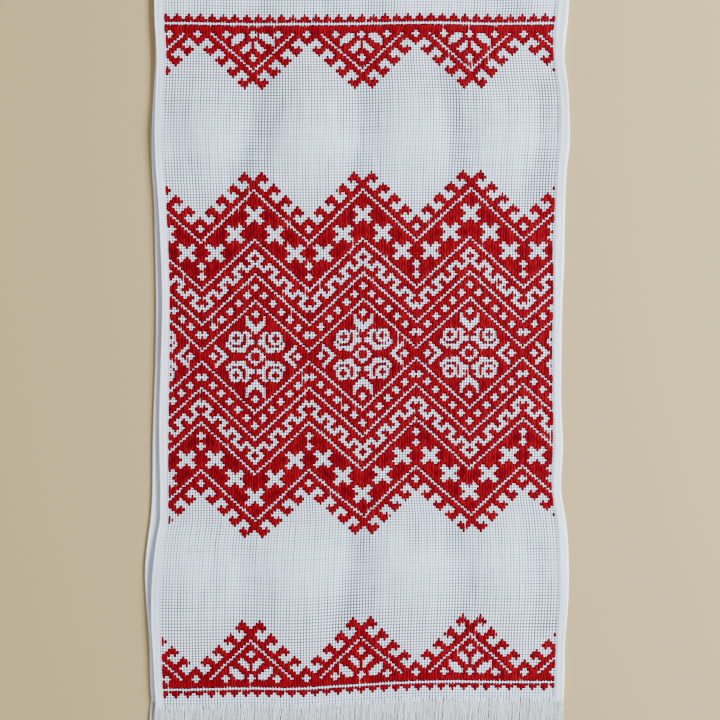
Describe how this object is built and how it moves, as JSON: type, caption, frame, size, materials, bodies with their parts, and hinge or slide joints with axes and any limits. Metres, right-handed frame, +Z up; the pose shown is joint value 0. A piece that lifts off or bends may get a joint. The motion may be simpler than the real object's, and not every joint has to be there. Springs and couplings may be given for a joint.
{
  "type": "embroidered ritual towel, folded in half",
  "caption": "Long white woven towel with geometric stitched bands, folded across in half and laid flat, with hemmed sides and a fringe at each end.",
  "frame": {"origin": "on the surface the towel lies on, under the middle of its bounding box", "axes": "+X across the towel to its right, +Y from the fringed ends to the fold, +Z up from the surface"},
  "size_m": [0.3592, 0.75, 0.006],
  "materials": {
    "canvas": "white evenweave cotton canvas with red stitched bands",
    "fringe": "loose white cotton threads"
  },
  "bodies": {
    "root": {"cloth": "canvas", "fringe_upper": "fringe", "fringe_under": "fringe"}
  },
  "joints": []
}
